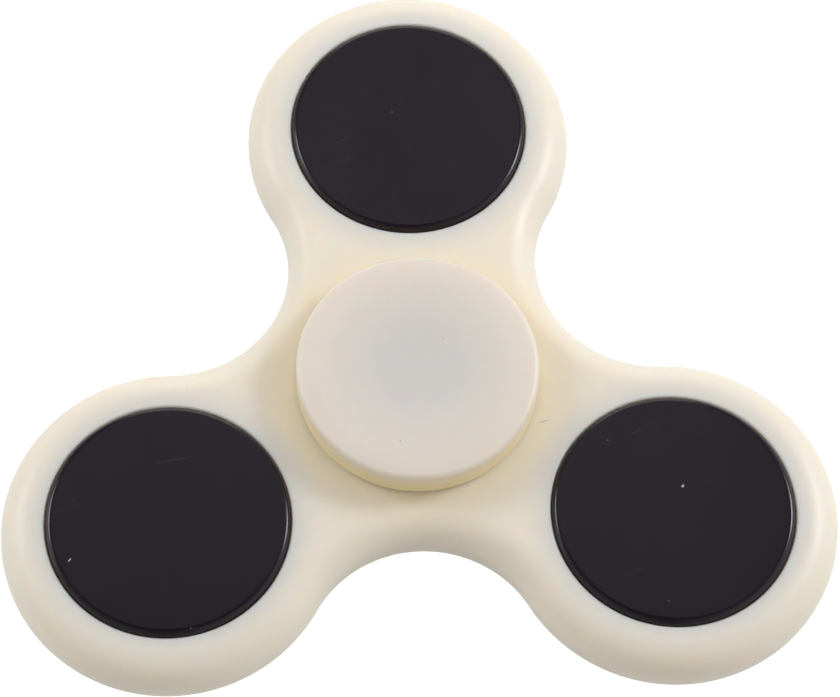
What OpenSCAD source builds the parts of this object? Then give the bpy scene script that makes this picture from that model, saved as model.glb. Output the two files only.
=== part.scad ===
// Three-lobed fidget spinner: a moulded body that turns on a shielded deep-groove
// ball bearing, held between two dished finger caps, with a steel disc in each lobe.
// Frame: origin at the bearing's centre, +Z up the spin axis, +Y towards one lobe.

/* [Body] */
// Distance from the spin axis to the centre of each weight
lobe_pitch = 26.2; // [26:0.1:26.6]
// Radius of the round end of each lobe
lobe_r = 15.2; // [15:0.1:15.4]
// Radius of each finger notch between two lobes
notch_r = 10.9; // [10.7:0.1:11.2]
// Thickness of the body
body_t = 6.4; // [6.2:0.1:6.8]
// Rounding of the body's outer edge
edge_r = 3.0; // [2:0.1:3]
// Rounding of the mouth of each weight's bore
lip_r = 0.25; // [0.2:0.05:0.5]

/* [Weights] */
// Diameter of each steel disc
weight_d = 22; // [21.6:0.1:22]
// Thickness of each steel disc
weight_t = 7.2; // [7:0.1:7.6]
// Rounding of each disc's rims
weight_edge_r = 0.6; // [0.2:0.05:0.8]

/* [Finger caps] */
// Diameter of each cap's head
cap_d = 22; // [20:0.1:22.4]
// Height of the cap's rim above the body's middle plane
cap_top = 7.0; // [6.6:0.1:7.4]
// Gap between the bearing's end face and the cap's head
cap_gap = 0.5; // [0.5:0.05:1]
// Rounding of the head's outer rim
cap_edge_r = 0.5; // [0.4:0.05:1.2]
// Width of the flat land around the thumb dish
cap_land = 0.6; // [0.4:0.05:0.8]
// Depth of the thumb dish
dish_depth = 0.3; // [0.2:0.05:1.2]
// Length of each cap's stub inside the bearing
stub_length = 2.7; // [2:0.1:2.8]

/* [Ball bearing] */
// Outside diameter of the bearing
bearing_d = 19; // [19:19]
// Bore of the bearing
bearing_bore = 8; // [8:8]
// Width of the bearing
bearing_w = 6; // [6:6]
// Diameter of each ball
ball_d = 3.175; // [3.175:3.175]
// Diameter of the circle that the balls' centres lie on
ball_pitch_d = 13.5; // [13.5:13.5]
// Clearance between a ball and each race
ball_play = 0.02; // [0.01:0.01:0.03]

/* [Hidden] */
LOBES = ["a", "b", "c"];
BALLS = 7;

$fn = 96;
IVORY = "#ece3d2";
CAP_IVORY = "#e6ddd3";
BLACK = "#2b272d";
STEEL = "#b9bcc0";
BRIGHT = "#d8dadd";
ZINC = "#a3a7ab";

turn = 360 / len(LOBES);
past = 1;                        // how far a cutter runs past the face it opens
body_h = body_t / 2;
press = 0.01;                    // radial room in the bearing's seats
weight_room = 0.03;              // radial room around each weight

// The outline: lobe arcs and notch arcs that cross at a few degrees, close to a common tangent
seam_bite = 0.05;                // how far each lobe's arc reaches into a notch's arc
centre_gap = lobe_r + notch_r - seam_bite;
notch_pitch = (lobe_pitch + sqrt(4 * centre_gap * centre_gap - 3 * lobe_pitch * lobe_pitch)) / 2;
notch_half = acos((notch_pitch * notch_pitch + centre_gap * centre_gap - lobe_pitch * lobe_pitch)
    / (2 * notch_pitch * centre_gap));
notch_band = 8;                  // width of the strip of body that each notch sweeps
core_reach = notch_pitch - notch_r - edge_r - 2;
lobe_edge_z = body_h - edge_r + 0.03;  // height of the edge arcs' centres, so that they cross the flat
notch_edge_z = body_h - edge_r + 0.06; // faces at a small angle; unequal, so that no two edges coincide
notch_overrun = 1;               // degrees by which each strip runs on into the lobes

// The cap, from the bearing's end face outwards
bearing_h = bearing_w / 2;
cap_r = cap_d / 2;
cap_under = bearing_h + cap_gap;
cap_under_r = 0.3;               // rounding of the head's lower rim
dish_r = cap_r - cap_edge_r - cap_land;
dish_ball_r = (dish_r * dish_r + dish_depth * dish_depth) / (2 * dish_depth);
boss_r = 5.0;                    // the boss bears on the inner ring alone
stub_r = bearing_bore / 2 - press;
stub_hollow_r = 2.5;
cap_floor = 1.2;                 // wall between the dish and the stub's hollow

// Bearing sections
ring_chamfer = 0.3;
inner_shoulder_r = 5.4;
outer_shoulder_r = 8.1;
ball_r = ball_d / 2;
groove_r = 1.04 * ball_r;
pitch_r = ball_pitch_d / 2;
recess_r = 8.75;                 // seat of each shield
recess_z = bearing_h - 0.6;
snap_groove_r = 8.95;
snap_ring_in_r = 8.3;
snap_z = bearing_h - 0.34;
snap_t = 0.22;
shield_t = 0.24;
shield_bore_r = 5.7;
shield_step_r = 7.5;             // where the shield steps outwards
shield_step = 0.2;

// Cage sections
cage_in_r = 6.0;
cage_out_r = 7.5;
cage_sheet = 0.3;
pocket_r = ball_r + 0.06;
tab_w = 0.9;
tab_in_r = 7.0;
tab_out_r = 7.72;

function polar(r, a) = [r * cos(a), r * sin(a)];

// Section of a slab from its axis out to radius r, with a rounded edge; it stands tall above the faces
module slab_section(r, tall) {
    translate([0, -tall]) square([r - edge_r, 2 * tall]);
    translate([0, -lobe_edge_z]) square([r, 2 * lobe_edge_z]);
    intersection() {
        union() { for (s = [-1, 1]) translate([r - edge_r, s * lobe_edge_z]) circle(r = edge_r); }
        translate([0, -tall]) square([r, 2 * tall]);
    }
}

// Section of the strip around a notch, rounded on the notch's side
module notch_section(tall) {
    translate([notch_r + edge_r, -tall]) square([notch_band - edge_r, 2 * tall]);
    translate([notch_r, -notch_edge_z]) square([notch_band, 2 * notch_edge_z]);
    for (s = [-1, 1]) translate([notch_r + edge_r, s * notch_edge_z]) circle(r = edge_r);
}

// Rounds the mouth of a bore of radius r at height z; side is +1 for the top face
module mouth_cutter(r, z, lip, side) {
    translate([0, 0, side * z]) mirror([0, 0, side > 0 ? 0 : 1]) rotate_extrude() difference() {
        translate([r - lip, -lip]) square([2 * lip, 2 * lip]);
        translate([r + lip, -lip]) circle(r = 1.06 * lip);
    }
}

module bore_cutter(r, lip) {
    cylinder(h = body_t + 2 * past, r = r, center = true);
    for (side = [-1, 1]) mouth_cutter(r, body_h, lip, side);
}

// The core, the strips around the notches and the lobes, joined at unequal heights
module body_blank() {
    core = [for (i = [0:2]) each [polar(core_reach, 30 + i * turn), polar(lobe_pitch, 90 + i * turn)]];
    half = notch_half + notch_overrun;
    union() {
        for (i = [0:2]) rotate(30 + i * turn) translate([notch_pitch, 0, 0]) rotate(180 - half) {
            rotate_extrude(angle = 2 * half) notch_section(body_h + 0.6);
        }
        translate([0, 0, -body_h - 0.3]) linear_extrude(body_t + 0.6) polygon(core);
    }
    for (i = [0:2]) rotate(90 + i * turn) translate([lobe_pitch, 0, 0]) {
        rotate_extrude() slab_section(lobe_r, body_h + 0.9);
    }
}

// The blank with both faces cut to thickness and its four bores
module body() color(IVORY) difference() {
    body_blank();
    for (s = [0, 1]) mirror([0, 0, s]) translate([0, 0, body_h]) {
        cylinder(h = 2, r = lobe_pitch + lobe_r + past);
    }
    cylinder(h = body_t + 2 * past, r = bearing_d / 2 + press, center = true);
    for (i = [0:2]) rotate(90 + i * turn) translate([lobe_pitch, 0, 0]) {
        bore_cutter(weight_d / 2 + weight_room, lip_r);
    }
}

// A disc of radius r and thickness t with both rims rounded to e
module rounded_disc(r, t, e) {
    rotate_extrude() {
        translate([0, -t / 2]) square([r - e, t]);
        translate([0, e - t / 2]) square([r, t - 2 * e]);
        for (s = [-1, 1]) translate([r - e, s * (t / 2 - e)]) circle(r = e);
    }
}

module weight(i) color(BLACK) rotate(90 + i * turn) translate([lobe_pitch, 0, 0]) {
    rounded_disc(weight_d / 2, weight_t, weight_edge_r);
}

// The head's section, before the dish is cut
module cap_head_section() {
    head_t = cap_top - cap_under;
    translate([0, cap_under]) square([cap_r - cap_edge_r, head_t]);
    translate([0, cap_under + cap_under_r]) square([cap_r, head_t - cap_under_r - cap_edge_r]);
    translate([0, cap_under]) square([cap_r - cap_under_r, head_t - cap_edge_r]);
    translate([cap_r - cap_edge_r, cap_top - cap_edge_r]) circle(r = cap_edge_r);
    translate([cap_r - cap_under_r, cap_under + cap_under_r]) circle(r = cap_under_r);
}

module cap() color(CAP_IVORY) difference() {
    union() {
        rotate_extrude() cap_head_section();
        translate([0, 0, bearing_h]) cylinder(h = cap_gap + past, r = boss_r);
        translate([0, 0, bearing_h - stub_length]) cylinder(h = stub_length + past, r = stub_r);
    }
    translate([0, 0, cap_top - dish_depth + dish_ball_r]) sphere(r = dish_ball_r);
    translate([0, 0, bearing_h - stub_length - past]) {
        cylinder(h = cap_top - dish_depth - cap_floor - bearing_h + stub_length + past, r = stub_hollow_r);
    }
}

// Section of a plain ring with chamfered corners
module ring_section(r_in, r_out, w, chamfer_in, chamfer_out) {
    polygon([
        [r_in + chamfer_in, -w / 2], [r_out - chamfer_out, -w / 2],
        [r_out, chamfer_out - w / 2], [r_out, w / 2 - chamfer_out],
        [r_out - chamfer_out, w / 2], [r_in + chamfer_in, w / 2],
        [r_in, w / 2 - chamfer_in], [r_in, chamfer_in - w / 2]
    ]);
}

module bearing_outer_ring() color(STEEL) rotate_extrude() difference() {
    ring_section(outer_shoulder_r, bearing_d / 2, bearing_w, 0.1, ring_chamfer);
    translate([pitch_r + ball_r + ball_play - groove_r, 0]) circle(r = groove_r);
    for (s = [-1, 1]) mirror([0, s > 0 ? 0 : 1]) {
        translate([outer_shoulder_r - past, recess_z]) square([recess_r - outer_shoulder_r + past, past]);
        translate([outer_shoulder_r, snap_z]) square([snap_groove_r - outer_shoulder_r, snap_t]);
    }
}

module bearing_inner_ring() color(STEEL) rotate_extrude() difference() {
    ring_section(bearing_bore / 2, inner_shoulder_r, bearing_w, ring_chamfer, 0.15);
    translate([pitch_r - ball_r - ball_play + groove_r, 0]) circle(r = groove_r);
}

module bearing_ball(i) color(BRIGHT) rotate((i - 1) * 360 / BALLS) translate([pitch_r, 0, 0]) {
    sphere(r = ball_r);
}

module cage_band(h) {
    difference() {
        cylinder(h = h, r = cage_out_r);
        translate([0, 0, -past]) cylinder(h = h + 2 * past, r = cage_in_r);
    }
}

// Seven spheres, one around each ball
module around_balls(r) {
    for (i = [0:BALLS - 1]) rotate(i * 360 / BALLS) translate([pitch_r, 0, 0]) sphere(r = r);
}

// The upper half of the pressed cage: a dome over each ball, and a flat land between domes
module cage_half() {
    intersection() {
        difference() {
            around_balls(pocket_r + cage_sheet);
            around_balls(pocket_r);
        }
        cage_band(pocket_r + 2 * cage_sheet);
    }
    difference() {
        cage_band(cage_sheet);
        for (i = [0:BALLS - 1]) rotate(i * 360 / BALLS) translate([pitch_r, 0, -past]) {
            cylinder(h = cage_sheet + 2 * past, r = pocket_r + cage_sheet / 2);
        }
    }
}

// A tab that rises past the upper half and is bent in over it
module cage_tab() {
    fold_z = cage_sheet + 0.01;
    fold_t = 0.2;
    root_r = cage_out_r - fold_t;
    translate([root_r, -tab_w / 2, -cage_sheet]) cube([tab_out_r - root_r, tab_w, cage_sheet - 0.01]);
    translate([cage_out_r + 0.02, -tab_w / 2, -cage_sheet]) {
        cube([tab_out_r - cage_out_r - 0.02, tab_w, cage_sheet + fold_z + fold_t]);
    }
    translate([tab_in_r, -tab_w / 2, fold_z]) cube([tab_out_r - tab_in_r, tab_w, fold_t]);
}

module cage_upper_half() color(ZINC) cage_half();

module cage_lower_half() color(ZINC) {
    mirror([0, 0, 1]) cage_half();
    for (i = [0:BALLS - 1]) rotate((i + 0.5) * 360 / BALLS) cage_tab();
}

// A pressed shield, stepped outwards between its seat and its bore
module shield() color(BRIGHT) {
    slant = 0.3;
    rim = recess_r - press;
    high_z = recess_z + shield_step;
    rotate_extrude() polygon([
        [shield_bore_r, high_z], [shield_step_r - slant, high_z], [shield_step_r, recess_z],
        [rim, recess_z], [rim, recess_z + shield_t], [shield_step_r + 0.1, recess_z + shield_t],
        [shield_step_r - slant + 0.1, high_z + shield_t], [shield_bore_r, high_z + shield_t]
    ]);
}

// The sprung C-ring that holds a shield in its groove
module snap_ring(gap_angle) color(STEEL) {
    room = 0.02;
    half_gap = 6;
    rotate(gap_angle + half_gap) rotate_extrude(angle = 360 - 2 * half_gap) {
        translate([snap_ring_in_r, snap_z + room / 2]) {
            square([snap_groove_r - room - snap_ring_in_r, snap_t - room]);
        }
    }
}

body();
for (i = [0:2]) weight(i);
cap();  // cap_top
mirror([0, 0, 1]) cap();  // cap_bottom
bearing_outer_ring();
bearing_inner_ring();
for (i = [1:BALLS]) bearing_ball(i);
cage_upper_half();
cage_lower_half();
shield();  // shield_top
mirror([0, 0, 1]) shield();  // shield_bottom
snap_ring(40);  // snap_ring_top
mirror([0, 0, 1]) snap_ring(200);  // snap_ring_bottom
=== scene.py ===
"""Looks of a three-lobed fidget spinner: an ivory moulded body with three black discs, turning on a shielded
ball bearing between two ivory finger caps. Lengths in the shape functions are millimetres; MM turns them
into metres as each mesh is made."""

import math

import bpy
from mathutils import Matrix, Vector
from mathutils.geometry import delaunay_2d_cdt


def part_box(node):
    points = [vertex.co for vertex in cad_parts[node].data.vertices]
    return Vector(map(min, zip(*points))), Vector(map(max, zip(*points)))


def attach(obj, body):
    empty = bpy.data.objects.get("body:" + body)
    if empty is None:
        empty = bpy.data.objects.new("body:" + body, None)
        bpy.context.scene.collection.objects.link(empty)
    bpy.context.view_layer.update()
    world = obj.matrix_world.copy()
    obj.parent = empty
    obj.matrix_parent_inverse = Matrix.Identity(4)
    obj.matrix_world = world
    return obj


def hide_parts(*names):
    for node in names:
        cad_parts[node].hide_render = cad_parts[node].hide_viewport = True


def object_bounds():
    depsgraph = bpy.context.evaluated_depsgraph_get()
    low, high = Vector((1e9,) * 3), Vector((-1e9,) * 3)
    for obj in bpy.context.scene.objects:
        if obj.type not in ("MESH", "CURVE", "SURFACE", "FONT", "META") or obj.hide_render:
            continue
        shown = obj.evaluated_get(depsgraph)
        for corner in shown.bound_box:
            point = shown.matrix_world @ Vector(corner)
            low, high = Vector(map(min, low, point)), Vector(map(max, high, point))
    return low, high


MM = 0.001

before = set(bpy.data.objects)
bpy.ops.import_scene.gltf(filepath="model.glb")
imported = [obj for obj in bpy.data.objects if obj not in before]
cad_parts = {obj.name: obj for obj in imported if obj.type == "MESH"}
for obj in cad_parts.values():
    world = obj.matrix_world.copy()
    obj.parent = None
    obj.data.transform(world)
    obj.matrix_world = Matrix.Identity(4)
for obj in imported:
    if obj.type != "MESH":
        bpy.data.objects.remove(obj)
cad_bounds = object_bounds()  # the CAD model's box, before any piece is added


# Sizes in millimetres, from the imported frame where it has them

def node_box(node):
    """A node's lowest and highest corner, in millimetres."""
    low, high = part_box(node)
    return Vector(low) / MM, Vector(high) / MM


def node_centre(node):
    low, high = node_box(node)
    return (low + high) / 2


BODY_HIGH = node_box("body")[1]
DISC_LOW, DISC_HIGH = node_box("weight_a")
CAP_HIGH = node_box("cap_top")[1]
RING_HIGH = node_box("bearing_outer_ring")[1]
LOBE_CENTRES = [node_centre(f"weight_{n}").xy for n in "abc"]

LOBE_PITCH = LOBE_CENTRES[0].length
LOBE_R = BODY_HIGH.y - LOBE_PITCH
NOTCH_R = 10.9  # radius of each finger notch, as in the CAD model
BODY_H = BODY_HIGH.z
EDGE_R = 3.0  # rounding of the body's outer edge, as in the CAD model
DISC_R = (DISC_HIGH.x - DISC_LOW.x) / 2
DISC_H = DISC_HIGH.z
CAP_R = CAP_HIGH.x
CAP_TOP = CAP_HIGH.z
BEARING_R = RING_HIGH.x
BEARING_H = RING_HIGH.z


# Meshes

def arc(centre_r, centre_z, radius, start, end, steps):
    """Points on an arc of a section, at angles in degrees from the outward direction."""
    points = []
    for i in range(steps + 1):
        a = math.radians(start + (end - start) * i / steps)
        points.append((centre_r + radius * math.cos(a), centre_z + radius * math.sin(a)))
    return points


def line(start, end, steps):
    """Points between two points of a section, without the two ends."""
    return [tuple(a + (b - a) * i / steps for a, b in zip(start, end)) for i in range(1, steps)]


def new_object(name, vertices, faces, body, slot, material, stands_for=None):
    """A smooth-shaded piece from vertices in millimetres, riding on a body."""
    mesh = bpy.data.meshes.new(name)
    mesh.from_pydata([Vector(v) * MM for v in vertices], [], faces)
    mesh.validate()
    mesh.update()
    mesh.shade_smooth()
    mesh.materials.append(material)
    obj = bpy.data.objects.new(name, mesh)
    bpy.context.scene.collection.objects.link(obj)
    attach(obj, body)
    if stands_for:
        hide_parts(stands_for)
    return obj


def lathe(section, segments, centre=(0, 0), closed=False):
    """Vertices and faces of a section of (r, z) points turned about a vertical axis. The section runs so that
    the material is on its left; a point at r = 0 becomes one vertex."""
    vertices, rings, faces = [], [], []
    for r, z in section:
        first = len(vertices)
        if r < 1e-6:
            vertices.append((centre[0], centre[1], z))
            rings.append([first] * segments)
            continue
        for k in range(segments):
            a = 2 * math.pi * k / segments
            vertices.append((centre[0] + r * math.cos(a), centre[1] + r * math.sin(a), z))
        rings.append(list(range(first, first + segments)))
    pairs = list(zip(rings, rings[1:]))
    if closed:
        pairs.append((rings[-1], rings[0]))
    for lower, upper in pairs:
        for k in range(segments):
            m = (k + 1) % segments
            corners = [lower[k], lower[m], upper[m], upper[k]]
            faces.append(list(dict.fromkeys(corners)))
    return vertices, faces


def outline():
    """Points round the body's outline with their inward normals, anticlockwise."""
    gap = LOBE_R + NOTCH_R
    notch_pitch = (LOBE_PITCH + math.sqrt(4 * gap * gap - 3 * LOBE_PITCH * LOBE_PITCH)) / 2
    notch_half = math.acos((notch_pitch**2 + gap**2 - LOBE_PITCH**2) / (2 * notch_pitch * gap))
    lobe_half = math.radians(60) + notch_half
    lobe_steps, notch_steps = 144, 52
    points = []
    for i in range(3):
        lobe_angle = math.radians(-30 + 120 * i)
        centre = Vector((math.cos(lobe_angle), math.sin(lobe_angle))) * LOBE_PITCH
        for k in range(lobe_steps):
            a = lobe_angle - lobe_half + 2 * lobe_half * k / lobe_steps
            away = Vector((math.cos(a), math.sin(a)))
            points.append((centre + away * LOBE_R, -away))
        notch_angle = lobe_angle + math.radians(60)
        centre = Vector((math.cos(notch_angle), math.sin(notch_angle))) * notch_pitch
        for k in range(notch_steps):
            a = notch_angle + math.pi + notch_half - 2 * notch_half * k / notch_steps
            away = Vector((math.cos(a), math.sin(a)))
            points.append((centre + away * NOTCH_R, away))
    return points


def flat_face(rims, inner_gap, spacing):
    """Triangles over the flat face between the first rim and the others, which are its holes. Extra points
    fill it at the given spacing. Returns the extra points and triangles that number rims first."""
    loops, points = [], []
    for rim in rims:
        loops.append(list(range(len(points), len(points) + len(rim))))
        points += [Vector(p) for p in rim]
    rim_count = len(points)
    holes = []
    for rim in rims[1:]:
        centre = sum((Vector(p) for p in rim), Vector((0, 0))) / len(rim)
        holes.append((centre, (Vector(rim[0]) - centre).length))
    outer = [Vector(p) for p in rims[0]]
    reach = max(p.length for p in outer)
    rows = int(2 * reach / spacing)
    for row in range(rows):
        for column in range(rows):
            p = Vector((
                -reach + (column + 0.5 * (row % 2)) * spacing,
                -reach + row * spacing * math.sqrt(3) / 2 + 1,
            ))
            if any((p - c).length < r + inner_gap for c, r in holes):
                continue
            if min((p - q).length for q in outer) < inner_gap:
                continue
            points.append(p)
    edges = []
    for loop in loops:
        edges += list(zip(loop, loop[1:] + loop[:1]))
    flat = delaunay_2d_cdt(points, edges, [loops[0]], 1, 1e-6)
    places, triangles, sources = flat[0], flat[2], flat[3]
    kept = []
    for triangle in triangles:
        middle = sum((places[v] for v in triangle), Vector((0, 0))) / 3
        if any((middle - c).length < r for c, r in holes):
            continue
        corners = [sources[v][0] for v in triangle]
        a, b, c = (points[v] for v in corners)
        if (b - a).cross(c - a) < 0:
            corners.reverse()
        kept.append(corners)
    used = sorted({v for t in kept for v in t if v >= rim_count})
    renumber = {v: rim_count + i for i, v in enumerate(used)}
    triangles = [[renumber.get(v, v) for v in t] for t in kept]
    return [points[v] for v in used], triangles


def body_shape():
    """The moulded body: a rounded outer edge with a faint parting line, three lipped bores and the
    bearing's. The roundings end in narrow flat bands, which keep their shading crisp."""
    hold = 0.2
    edge_steps = 18
    arc_z = BODY_H - EDGE_R
    part_h, part_depth = 0.05, 0.018
    upper = [(EDGE_R + hold, BODY_H)]
    upper += [(EDGE_R - x, z) for x, z in arc(0, arc_z, EDGE_R, 90, 0, edge_steps)]
    edge = upper + [(0, part_h), (part_depth, 0), (0, -part_h)] + [(d, -z) for d, z in reversed(upper)]

    def bore(radius, lip):
        top = [(radius + lip + hold / 2, BODY_H)] + arc(radius + lip, BODY_H - lip, lip, 90, 180, 8)
        return top + [(r, -z) for r, z in reversed(top)]

    bores = [((0, 0), bore(BEARING_R + 0.01, 0.15))]
    bores += [(tuple(c), bore(DISC_R + 0.05, 0.25)) for c in LOBE_CENTRES]

    vertices, faces = [], []
    rim = outline()
    n = len(rim)
    for depth, z in edge:
        vertices += [(*(p + inward * depth), z) for p, inward in rim]
    for j in range(len(edge) - 1):
        for k in range(n):
            m = (k + 1) % n
            faces.append([j * n + k, (j + 1) * n + k, (j + 1) * n + m, j * n + m])
    top_rings = [list(range(n))]
    bottom_rings = [list(range((len(edge) - 1) * n, len(edge) * n))]
    segments = 180
    for centre, section in bores:
        first = len(vertices)
        ring_vertices, ring_faces = lathe(section, segments, centre)
        vertices += ring_vertices
        faces += [[first + v for v in f] for f in ring_faces]
        top_rings.append(list(range(first, first + segments)))
        bottom_rings.append(list(range(len(vertices) - segments, len(vertices))))

    rims = [[vertices[v][:2] for v in ring] for ring in top_rings]
    inner_gap, spacing = 0.45, 1.1
    extra, triangles = flat_face(rims, inner_gap, spacing)
    for rings, z, flip in ((top_rings, BODY_H, False), (bottom_rings, -BODY_H, True)):
        numbers = [v for ring in rings for v in ring]
        numbers += range(len(vertices), len(vertices) + len(extra))
        vertices += [(p.x, p.y, z) for p in extra]
        for t in triangles:
            corners = [numbers[v] for v in t]
            faces.append(corners[::-1] if flip else corners)
    return vertices, faces


def disc_shape(centre):
    """A steel disc with both rims rounded."""
    rim_r, hold = 0.6, 0.12
    inner = DISC_R - rim_r
    top = arc(inner, DISC_H - rim_r, rim_r, 0, 90, 12) + [(inner - hold, DISC_H)]
    top += [(inner * f, DISC_H) for f in (0.85, 0.65, 0.45, 0.25, 0.08)] + [(0, DISC_H)]
    section = [(r, -z) for r, z in reversed(top)] + top
    return lathe(section, 192, tuple(centre))


def cap_section():
    """A finger cap's section from the stub's hollow, out under the head, over the rim and into the dish. The
    top's crest is a circle at crest_r. Outside it a soft shoulder drops to the rim."""
    stub_r, hollow_r, stub_end = 3.99, 2.5, BEARING_H - 2.7
    boss_r, under = 5.0, BEARING_H + 0.5
    rim_r, under_r, dish_depth, crest_r, drop = 0.5, 0.3, 0.3, 8.6, 0.14
    floor_t = 1.2
    floor_z = CAP_TOP - dish_depth - floor_t
    chamfer = 0.25
    section = [(0, floor_z), (hollow_r - 0.3, floor_z), (hollow_r, floor_z - 0.3), (hollow_r, stub_end + 0.1)]
    section += [(hollow_r + 0.1, stub_end), (stub_r - chamfer, stub_end), (stub_r, stub_end + chamfer)]
    section += [(stub_r, BEARING_H - 0.05), (stub_r + 0.05, BEARING_H), (boss_r - 0.1, BEARING_H)]
    section += [(boss_r, BEARING_H + 0.1), (boss_r, under - 0.06), (boss_r + 0.06, under)]
    section += line((boss_r + 0.06, under), (CAP_R - under_r, under), 6)
    section += arc(CAP_R - under_r, under + under_r, under_r, -90, 0, 6)
    rim_z = CAP_TOP - drop - rim_r
    section += line((CAP_R, under + under_r), (CAP_R, rim_z), 5)
    shoulder_r = CAP_R - rim_r
    lean = math.degrees(math.atan(2 * drop / (shoulder_r - crest_r)))
    section += arc(shoulder_r, rim_z, rim_r, 0, 90 - lean, 12)
    steps = 10
    start_r, start_z = section[-1]
    for i in range(1, steps + 1):
        t = 1 - i / steps
        section.append((crest_r + (start_r - crest_r) * t, CAP_TOP - (CAP_TOP - start_z) * t * t))
    rings = 18
    for i in range(1, rings + 1):
        t = 1 - i / rings
        section.append((crest_r * t, CAP_TOP - dish_depth * (1 - t * t) ** 2))
    return section


# Materials

class Shader:
    """Short calls for building a material's nodes."""

    def __init__(self, name):
        self.material = bpy.data.materials.new(name)
        self.material.use_nodes = True
        self.tree = self.material.node_tree
        self.bsdf = self.tree.nodes["Principled BSDF"]
        self.place = self.node("ShaderNodeTexCoord").outputs["Object"]

    def node(self, kind, inputs=None, **settings):
        node = self.tree.nodes.new(kind)
        for key, value in settings.items():
            setattr(node, key, value)
        for key, value in (inputs or {}).items():
            if isinstance(value, bpy.types.NodeSocket):
                self.tree.links.new(value, node.inputs[key])
            else:
                node.inputs[key].default_value = value
        return node

    def set(self, **values):
        """Sets or links the surface shader's sockets; an underscore stands for a space in their names."""
        for key, value in values.items():
            socket = self.bsdf.inputs[key.replace("_", " ")]
            if isinstance(value, bpy.types.NodeSocket):
                self.tree.links.new(value, socket)
            else:
                socket.default_value = value

    def math(self, operation, a, b=0.0, clamp=False):
        return self.node("ShaderNodeMath", {0: a, 1: b}, operation=operation, use_clamp=clamp).outputs[0]

    def scaled(self, factors):
        """Places in millimetres, stretched by the given factors."""
        vector = [f / MM for f in factors]
        return self.node("ShaderNodeMapping", {"Vector": self.place, "Scale": vector}).outputs[0]

    def noise(self, scale, detail=3.0, rough=0.5, factors=(1, 1, 1), distortion=0.0):
        """Noise with the given number of cells per millimetre."""
        values = {
            "Vector": self.scaled(factors),
            "Scale": scale,
            "Detail": detail,
            "Roughness": rough,
            "Distortion": distortion,
        }
        return self.node("ShaderNodeTexNoise", values).outputs["Fac"]

    def spots(self, scale, radius, factors=(1, 1, 1)):
        """Sparse round spots: 1 at the middle of a cell, 0 outside the radius, which is a share of a cell."""
        values = {"Vector": self.scaled(factors), "Scale": scale}
        distance = self.node("ShaderNodeTexVoronoi", values).outputs["Distance"]
        return self.ramp(distance, (0.0, radius), (1.0, 0.0))

    def distance(self, centre=(0, 0)):
        """Distance in millimetres from an upright axis through a centre."""
        values = {
            "Vector": self.place,
            "Location": (-centre[0], -centre[1], 0),
            "Scale": (1 / MM, 1 / MM, 0),
        }
        flat = self.node("ShaderNodeMapping", values).outputs[0]
        return self.node("ShaderNodeVectorMath", {0: flat}, operation="LENGTH").outputs["Value"]

    def mark(self, centre, half_length, half_width, angle=0.0):
        """A single small elliptical mark at a place on the surface, in millimetres and degrees."""
        values = {
            "Vector": self.place,
            "Location": (centre[0] * MM, centre[1] * MM, 0),
            "Rotation": (0, 0, math.radians(angle)),
            "Scale": (half_length * MM, half_width * MM, 1),
        }
        place = self.node("ShaderNodeMapping", values, vector_type="TEXTURE").outputs[0]
        reach = self.node("ShaderNodeVectorMath", {0: place}, operation="LENGTH").outputs["Value"]
        return self.ramp(reach, (0.5, 1.0), (1.0, 0.0))

    def ramp(self, value, span, result=(0.0, 1.0)):
        """Maps a span of the value to a span of results, clamped."""
        inputs = {"Value": value, 1: span[0], 2: span[1], 3: result[0], 4: result[1]}
        return self.node("ShaderNodeMapRange", inputs, clamp=True).outputs[0]

    def mix(self, factor, a, b):
        """Mixes two colours."""
        node = self.node("ShaderNodeMix", {"Factor": factor}, data_type="RGBA")
        for socket, value in ((node.inputs[6], a), (node.inputs[7], b)):
            if isinstance(value, bpy.types.NodeSocket):
                self.tree.links.new(value, socket)
            else:
                socket.default_value = (*value, 1.0)
        return node.outputs[2]

    def bump(self, height, depth, strength=1.0, normal=None):
        """A bump of the given depth in millimetres."""
        values = {"Height": height, "Strength": strength, "Distance": depth * MM}
        if normal is not None:
            values["Normal"] = normal
        return self.node("ShaderNodeBump", values).outputs[0]


def scratches(shader, angle, scale, width):
    """Fine straight scratches near one direction: long thin cells of noise, cut to their crests."""
    turned = shader.node("ShaderNodeMapping", {
        "Vector": shader.place,
        "Rotation": (0, 0, math.radians(angle)),
    }).outputs[0]
    stretched = shader.node("ShaderNodeMapping", {
        "Vector": turned,
        "Scale": (scale / MM, 0.03 * scale / MM, scale / MM),
    }).outputs[0]
    values = {"Vector": stretched, "Scale": 1.0, "Detail": 2.0}
    noise = shader.node("ShaderNodeTexNoise", values).outputs["Fac"]
    crest = shader.math("ABSOLUTE", shader.math("SUBTRACT", noise, 0.5))
    return shader.ramp(crest, (0.0, width), (1.0, 0.0))


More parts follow.
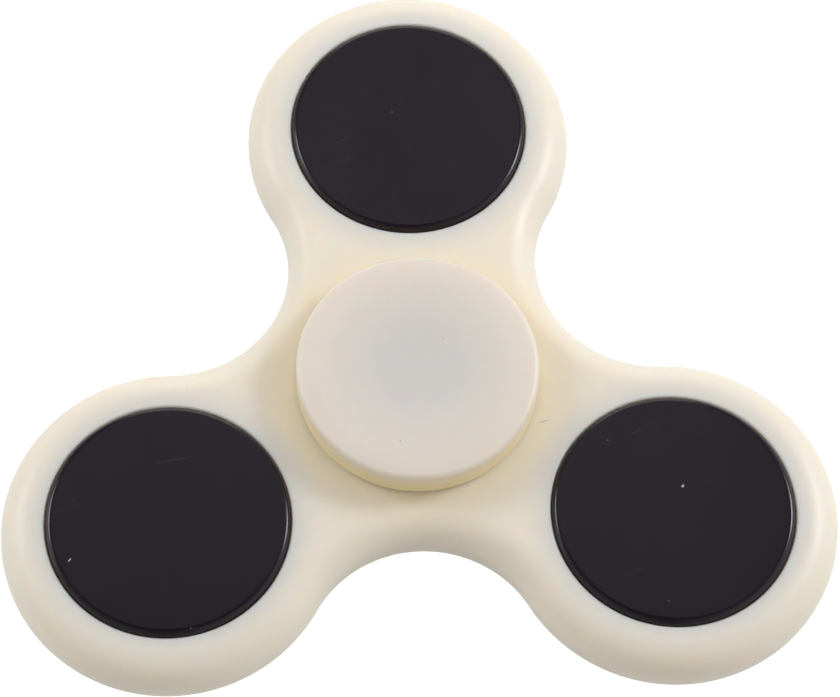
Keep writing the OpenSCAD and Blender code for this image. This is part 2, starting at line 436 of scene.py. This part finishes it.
def plastic(name, base, roughness, grain, tints, marks):
    """Moulded, slightly translucent ivory: mottled colour, grain, scuffs, polished edges, tints of painted
    light and shade, and marks.
    Each tint is a function that gives its mask and the colour to reach."""
    s = Shader(name)
    mottle = s.ramp(s.noise(0.09, 3.0), (0.35, 0.65))
    cloud = s.ramp(s.noise(0.6, 4.0), (0.3, 0.7), (0.0, 0.35))
    colour = s.mix(mottle, base, [c * k for c, k in zip(base, (0.985, 0.975, 0.965))])
    colour = s.mix(cloud, colour, [c * 0.985 for c in base])
    # Each tint paints light or shade into the colour, by place on the part
    for tint in tints:
        mask, reached = tint(s)
        colour = s.mix(mask, colour, reached)
    speck_region = s.ramp(s.noise(0.35, 1.0), (0.62, 0.66))
    speck = s.math("MULTIPLY", s.spots(0.55, 0.07), speck_region)
    for place in marks:
        speck = s.math("MAXIMUM", speck, s.mark(*place))
    colour = s.mix(s.math("MULTIPLY", speck, 0.5), colour, (0.25, 0.2, 0.15))
    s.set(Base_Color=colour)
    scuff = s.math("MULTIPLY", scratches(s, 35, 1.6, 0.012), s.ramp(s.noise(0.25, 2.0), (0.5, 0.7)))
    normal = s.node("ShaderNodeNewGeometry").outputs["Normal"]
    upright = s.node("ShaderNodeSeparateXYZ", {0: normal}).outputs[2]
    edge = s.ramp(s.math("ABSOLUTE", upright), (0.25, 0.95), (1.0, 0.0))
    rough = s.ramp(s.noise(1.3, 4.0), (0.3, 0.7), (roughness - 0.03, roughness + 0.03))
    rough = s.math("SUBTRACT", rough, s.math("MULTIPLY", edge, 0.08))
    rough = s.math("ADD", rough, s.math("MULTIPLY", scuff, 0.15))
    s.set(Roughness=rough)
    ripple = s.bump(s.noise(0.35, 2.0), 0.02, 0.4)
    fine = s.bump(s.noise(grain, 3.0, 0.6), 0.004, 0.5, ripple)
    s.set(Normal=s.bump(scuff, 0.004, 0.5, fine))
    s.set(
        Subsurface_Weight=SUBSURFACE,
        Subsurface_Radius=(1.0, 0.55, 0.28),
        Subsurface_Scale=SUBSURFACE_MM * MM,
        IOR=1.5,
    )
    return s.material


def disc_shadow(s):
    """Painted-in cool grey, as the dark discs give the plastic beside them."""
    near = None
    for centre in LOBE_CENTRES:
        distance = s.distance(centre)
        near = distance if near is None else s.math("MINIMUM", near, distance)
    return s.ramp(near, (11.3, 13.8), (1.0, 0.0)), (0.735, 0.697, 0.662)


def hub_glow(s):
    """Painted-in warm ochre, as light that comes through the plastic gives it around the cap."""
    return s.ramp(s.distance(), (11.0, 15.0), (1.0, 0.0)), (0.87, 0.772, 0.61)


def bearing_shadow(s):
    """Painted-in cool grey, as the bearing gives the middle of the cap."""
    return s.ramp(s.distance(), (3.5, 9.0), (1.0, 0.0)), (0.665, 0.635, 0.618)


def wall_shade_and_glow(s):
    """Painted shade and glow: ochre that deepens down the cap's wall towards the body."""
    height = s.node("ShaderNodeSeparateXYZ", {0: s.scaled((1, 1, 1))}).outputs[2]
    low = s.ramp(s.math("ABSOLUTE", height), (4.6, 6.9), (1.0, 0.0))
    outer = s.ramp(s.distance(), (10.6, 10.95))
    return s.math("MULTIPLY", low, outer), (0.87, 0.71, 0.43)


def black_coat(name):
    """Gloss black coating over steel: faint polishing hairlines, a few stray scratches and dust."""
    s = Shader(name)
    hair = s.noise(3.0, 4.0, 0.6, factors=(1, 0.05, 1))
    haze = s.noise(0.12, 3.0)
    colour = s.mix(s.ramp(haze, (0.35, 0.7)), (0.0035, 0.0004, 0.0055), (0.0055, 0.0014, 0.008))
    colour = s.mix(s.ramp(hair, (0.55, 0.8), (0.0, 0.5)), colour, (0.009, 0.005, 0.012))
    scratch = s.math("MULTIPLY", scratches(s, 68, 0.7, 0.004), s.ramp(s.noise(0.12, 1.0), (0.6, 0.66)))
    scratch = s.math("MULTIPLY", scratch, 0.35)
    for place in COAT_SCRATCHES:
        scratch = s.math("MAXIMUM", scratch, s.mark(*place))
    colour = s.mix(s.math("MULTIPLY", scratch, 0.25), colour, (0.16, 0.15, 0.15))
    dust = s.math("MULTIPLY", s.spots(0.62, 0.06), s.ramp(s.noise(0.4, 1.0), (0.58, 0.62), (0.0, 0.3)))
    for place in COAT_CHIPS:
        dust = s.math("MAXIMUM", dust, s.mark(*place))
    colour = s.mix(s.math("MULTIPLY", dust, 0.8), colour, (0.6, 0.58, 0.56))
    rough = s.ramp(hair, (0.3, 0.7), (0.17, 0.22))
    rough = s.math("ADD", rough, s.math("MULTIPLY", scratch, 0.2))
    rough = s.math("ADD", rough, s.math("MULTIPLY", dust, 0.4), clamp=True)
    peel = s.bump(s.noise(0.5, 2.0), 0.01, 0.3)
    fine = s.bump(hair, 0.001, 0.4, peel)
    s.set(Base_Color=colour, Roughness=rough, Normal=s.bump(scratch, -0.002, 0.4, fine))
    s.set(IOR=1.42)
    return s.material


def steel(name, base, roughness, grind):
    """Bearing steel: fine turned or rolled grain, small stains and light scratches."""
    s = Shader(name)
    grain = s.noise(grind, 4.0, 0.6, factors=(1, 1, 6))
    stain = s.ramp(s.noise(0.4, 4.0), (0.5, 0.75), (0.0, 0.5))
    s.set(Base_Color=s.mix(stain, base, [c * 0.82 for c in base]))
    mark = s.math("MULTIPLY", scratches(s, 20, 2.5, 0.012), s.ramp(s.noise(0.6, 1.0), (0.5, 0.6)))
    rough = s.ramp(grain, (0.3, 0.7), (roughness - 0.05, roughness + 0.07))
    rough = s.math("ADD", rough, s.math("MULTIPLY", mark, 0.1), clamp=True)
    fine = s.bump(grain, 0.0015, 0.4)
    s.set(Roughness=rough, Normal=s.bump(mark, -0.002, 0.4, fine), Metallic=1.0)
    return s.material


SUBSURFACE = 0.6  # share of the plastic's light that passes under its surface
SUBSURFACE_MM = 2.2  # how far the red part of that light travels
# Marks that the surfaces show: centre, half length and half width in millimetres, and angle in degrees
BODY_MARKS = [((11.4, -4.2), 0.6, 0.06, 18)]
CAP_MARKS = [((-1.8, -7.4), 0.11, 0.11), ((2.4, 2.6), 0.08, 0.08)]
COAT_SCRATCHES = [((-22.1, -7.4), 2.0, 0.035, 9)]
COAT_CHIPS = [((23.6, -10.95), 0.2, 0.12, 60), ((-31.4, -16.8), 0.25, 0.07, 50)]

# Painted light and shade on the body: glow around the cap and grey beside the discs. On the cap: grey in the
# middle and ochre shade and glow down the wall.
BODY_PLASTIC = plastic("body_ivory", (0.85, 0.785, 0.685), 0.4, 4.0, [hub_glow, disc_shadow], BODY_MARKS)
CAP_PLASTIC = plastic("cap_ivory", (0.765, 0.705, 0.645), 0.4, 5.5, [bearing_shadow, wall_shade_and_glow], CAP_MARKS)
COAT = black_coat("black_coat")
RING_STEEL = steel("ring_steel", (0.62, 0.63, 0.65), 0.24, 5.0)
BALL_STEEL = steel("ball_steel", (0.8, 0.81, 0.83), 0.08, 2.0)
CAGE_STEEL = steel("cage_steel", (0.56, 0.57, 0.59), 0.3, 3.0)
SHIELD_STEEL = steel("shield_steel", (0.68, 0.69, 0.71), 0.22, 6.0)


# Pieces

new_object("moulded_body", *body_shape(), "rotor", "body_plastic", BODY_PLASTIC, "body")
for letter, middle in zip("abc", LOBE_CENTRES):
    new_object(f"disc_{letter}", *disc_shape(middle), "rotor", "weight_coating", COAT, f"weight_{letter}")
for side, name in ((1, "top"), (-1, "bottom")):
    section = [(r, side * z) for r, z in cap_section()]
    section = section if side > 0 else section[::-1]
    new_object(f"finger_cap_{name}", *lathe(section, 224), "hub", "cap_plastic", CAP_PLASTIC, f"cap_{name}")

# Materials of the CAD nodes that stay, by the start of their names, the longer start first
NODE_STEELS = {
    "bearing_ball": BALL_STEEL,
    "bearing": RING_STEEL,
    "cage": CAGE_STEEL,
    "shield": SHIELD_STEEL,
    "snap_ring": SHIELD_STEEL,
}
for name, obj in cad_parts.items():
    for start, material in NODE_STEELS.items():
        if name.startswith(start):
            for place in obj.material_slots:
                place.material = material
            break


# Floor, light and camera

FLOOR_MIRRORED = 0.6  # the floor's brightness in reflections, where the camera sees it as 1


def stage_floor():
    """A floor that looks pure white and shows in reflections, but sends the object little other light."""
    half = 2000
    corners = [(-half, -half, 0), (half, -half, 0), (half, half, 0), (-half, half, 0)]
    mesh = bpy.data.meshes.new("floor")
    height = cad_bounds[0][2]
    mesh.from_pydata([Vector(c) * MM + Vector((0, 0, height)) for c in corners], [], [(0, 1, 2, 3)])
    s = Shader("floor_white")
    path = s.node("ShaderNodeLightPath").outputs
    mirrored = s.math("MULTIPLY", path["Is Glossy Ray"], FLOOR_MIRRORED)
    glow = s.math("ADD", path["Is Camera Ray"], mirrored)
    s.set(Base_Color=(0.5, 0.5, 0.5, 1), Roughness=0.9, Emission_Color=(1, 1, 1, 1), Emission_Strength=glow)
    mesh.materials.append(s.material)
    floor = bpy.data.objects.new("floor", mesh)
    bpy.context.scene.collection.objects.link(floor)


def softbox(name, direction, distance, size, power, colour=(1, 1, 1)):
    """A square area light that faces the object. Distance and size are in millimetres, power in watts."""
    light = bpy.data.lights.new(name, "AREA")
    light.shape = "SQUARE"
    light.size = size * MM
    light.energy = power
    light.color = colour
    obj = bpy.data.objects.new(name, light)
    away = Vector(direction).normalized()
    obj.location = away * distance * MM
    obj.rotation_euler = away.to_track_quat("Z", "Y").to_euler()
    bpy.context.scene.collection.objects.link(obj)


# The tent's lights: axis of the direction, its sign, and colour
TENT_LIGHTS = (
    (0, 1, (0.95, 0.97, 0.99)),
    (0, -1, (0.68, 0.695, 0.68)),
    (1, -1, (0.325, 0.31, 0.235)),
    (2, 1, (0.12, 0.105, 0.10)),
)


def tent_world():
    """A white tent: light from the sides, the front and above, each fading with the direction's slant."""
    world = bpy.data.worlds.new("tent")
    world.use_nodes = True
    tree = world.node_tree
    place = tree.nodes.new("ShaderNodeTexCoord")
    split = tree.nodes.new("ShaderNodeSeparateXYZ")
    tree.links.new(place.outputs["Generated"], split.inputs[0])
    total = None
    for axis, sign, colour in TENT_LIGHTS:
        side = tree.nodes.new("ShaderNodeMath")
        side.operation = "MULTIPLY"
        side.use_clamp = True
        side.inputs[1].default_value = sign
        tree.links.new(split.outputs[axis], side.inputs[0])
        part = tree.nodes.new("ShaderNodeVectorMath")
        part.operation = "SCALE"
        part.inputs[0].default_value = colour
        tree.links.new(side.outputs[0], part.inputs["Scale"])
        if total:
            both = tree.nodes.new("ShaderNodeVectorMath")
            both.operation = "ADD"
            tree.links.new(total, both.inputs[0])
            tree.links.new(part.outputs[0], both.inputs[1])
            part = both
        total = part.outputs[0]
    tree.links.new(total, tree.nodes["Background"].inputs["Color"])
    tree.nodes["Background"].inputs["Strength"].default_value = 1
    bpy.context.scene.world = world


def photo_camera():
    """The camera, at the photograph's angle: long lens, from above and slightly left of the front."""
    azimuth, elevation, roll = (math.radians(a) for a in (-4.854, 65.84, 3.33))
    distance, lens, sensor = 308.7, 142.7, 36.0
    target = Vector((0.496, 4.714, 0))
    back = Vector((
        math.sin(azimuth) * math.cos(elevation),
        -math.cos(azimuth) * math.cos(elevation),
        math.sin(elevation),
    ))
    right = Vector((math.cos(azimuth), math.sin(azimuth), 0))
    up = back.cross(right)
    rolled_right = right * math.cos(roll) + up * math.sin(roll)
    rolled_up = up * math.cos(roll) - right * math.sin(roll)
    data = bpy.data.cameras.new("camera")
    data.lens = lens
    data.sensor_width = sensor
    data.clip_start = 0.01
    camera = bpy.data.objects.new("camera", data)
    rotation = Matrix((rolled_right, rolled_up, back)).transposed().to_4x4()
    camera.matrix_world = Matrix.Translation((target + back * distance) * MM) @ rotation
    bpy.context.scene.collection.objects.link(camera)
    bpy.context.scene.camera = camera


stage_floor()
tent_world()
softbox("left_box", (-0.70, 0.33, 0.60), 350, 100, 0.24)
softbox("right_box", (0.72, 0.26, 0.62), 350, 90, 0.42, (0.93, 0.96, 1))
softbox("back_box", (0.0, 0.92, 0.39), 350, 220, 0.30, (1, 0.97, 0.85))
softbox("low_left_box", (-0.95, 0.2, 0.25), 350, 220, 0.18, (0.85, 0.93, 1))
softbox("low_right_box", (0.95, 0.2, 0.25), 350, 220, 0.045)
softbox("top_box", (0.0, 0.48, 0.88), 400, 200, 0.074)
photo_camera()
bpy.context.scene.view_settings.view_transform = "Standard"
